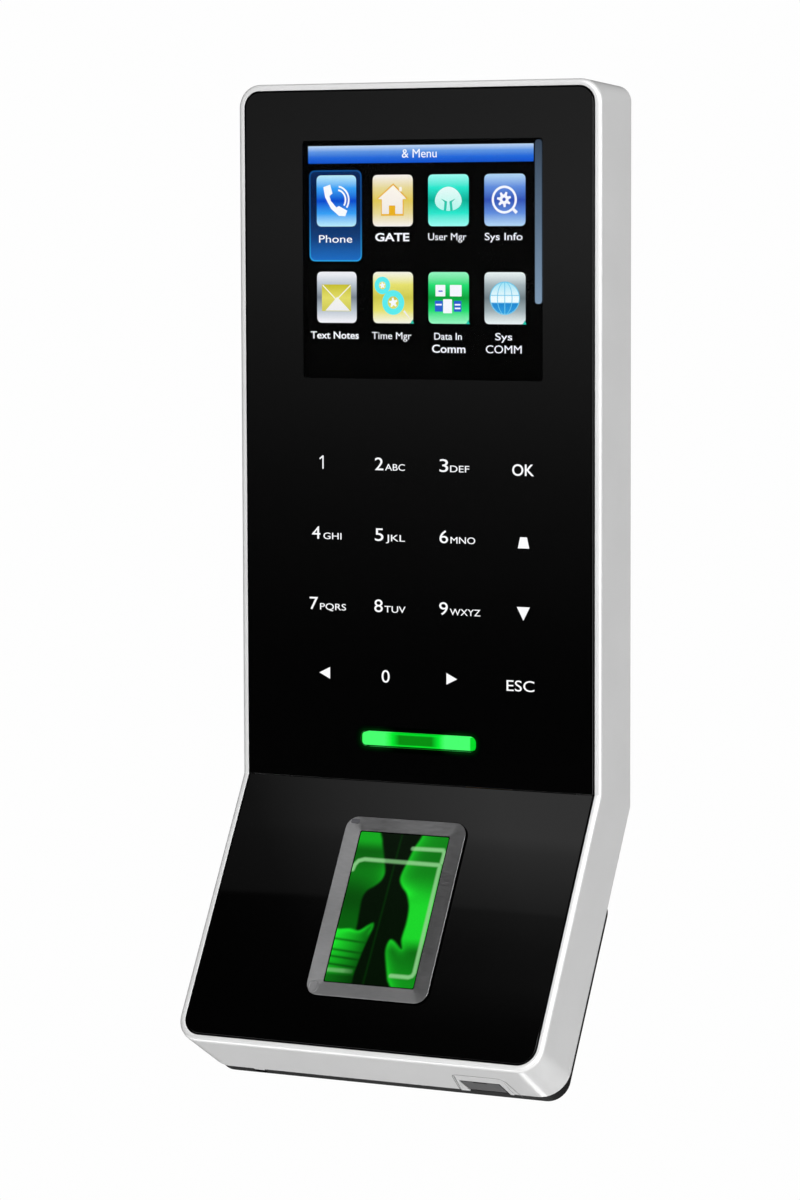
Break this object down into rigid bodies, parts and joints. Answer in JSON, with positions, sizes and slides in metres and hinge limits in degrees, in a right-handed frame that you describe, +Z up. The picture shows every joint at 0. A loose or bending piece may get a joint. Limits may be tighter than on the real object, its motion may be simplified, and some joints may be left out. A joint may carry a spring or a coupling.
{
  "type": "fingerprint scanner terminal",
  "caption": "Slim wall-mounted access terminal, a bent slab with a touch keypad, display and status light above a tilted fingerprint sensor.",
  "frame": {"origin": "centre of the four wall screw holes, on the wall plane", "axes": "+X right as seen by the user, +Y into the wall, +Z up; the front faces -Y"},
  "size_m": [0.078, 0.046, 0.1933],
  "materials": {
    "silver_paint": "satin",
    "black_glass": "gloss",
    "black_tape": "matte",
    "display_glass": "gloss",
    "white_plastic": "satin",
    "tin_steel": "satin",
    "amber_film": "satin",
    "clear_plastic": "gloss",
    "circuit_board": "satin",
    "led": "gloss",
    "green_light": "gloss",
    "copper": "satin",
    "chip_black": "satin",
    "relay_blue": "satin",
    "gold_pin": "satin",
    "screw_steel": "satin",
    "plunger_red": "satin",
    "button_beige": "satin",
    "bezel_grey": "satin",
    "platen_glass": "gloss",
    "speaker_grey": "matte",
    "flap_grey": "matte",
    "cover_black": "matte",
    "zinc_plate": "satin"
  },
  "bodies": {
    "terminal": {"front_housing": "silver_paint", "upper_front_glass": "black_glass", "lower_front_panel": "black_glass", "upper_adhesive": "black_tape", "lower_adhesive": "black_tape", "display_panel": "display_glass", "display_backlight": "white_plastic", "display_frame": "tin_steel", "display_cable": "amber_film", "keypad_light_guide": "clear_plastic", "touch_key_board": "circuit_board", "key_leds": "led", "status_light_bar": "green_light", "status_leds": "green_light", "card_antenna_board": "circuit_board", "card_antenna_coil": "copper", "main_board": "circuit_board", "shield_can": "tin_steel", "processor": "chip_black", "memory_chips": "chip_black", "lock_relay": "relay_blue", "coin_cell_holder": "chip_black", "coin_cell": "tin_steel", "cable_connectors": "white_plastic", "power_header": "white_plastic", "network_header": "white_plastic", "lock_header": "white_plastic", "reader_header": "white_plastic", "header_pins": "gold_pin", "board_screws": "screw_steel", "tamper_switch": "chip_black", "sensor_bezel": "bezel_grey", "sensor_gasket": "black_tape", "sensor_platen": "platen_glass", "sensor_housing": "chip_black", "sensor_board": "circuit_board", "sensor_camera": "chip_black", "sensor_leds": "green_light", "sensor_cable": "amber_film", "speaker": "speaker_grey", "service_board": "circuit_board", "service_socket": "tin_steel", "socket_tongue": "chip_black", "reset_switch": "chip_black", "port_insert": "silver_paint", "flap_pin": "screw_steel", "rear_cover": "cover_black", "cover_screws": "screw_steel", "wall_plate": "zinc_plate", "lock_nut": "gold_pin", "security_screw": "screw_steel"},
    "port_flap": {"port_flap": "flap_grey"},
    "tamper_plunger": {"tamper_plunger": "plunger_red"},
    "reset_button": {"reset_button": "button_beige"}
  },
  "joints": [
    {"name": "port_flap_hinge", "type": "hinge", "parent": "terminal", "child": "port_flap", "pos_m": [0, -0.03425, -0.12263], "axis": [1, 0, 0], "range_deg": [0, 105]},
    {"name": "tamper_plunger_slide", "type": "slide", "parent": "terminal", "child": "tamper_plunger", "axis": [0, -1, 0], "range_m": [0, 0.0008], "stiffness_N_per_m": 300},
    {"name": "reset_button_slide", "type": "slide", "parent": "terminal", "child": "reset_button", "axis": [0, -0.8625, 0.506], "range_m": [0, 0.0004], "stiffness_N_per_m": 800}
  ]
}
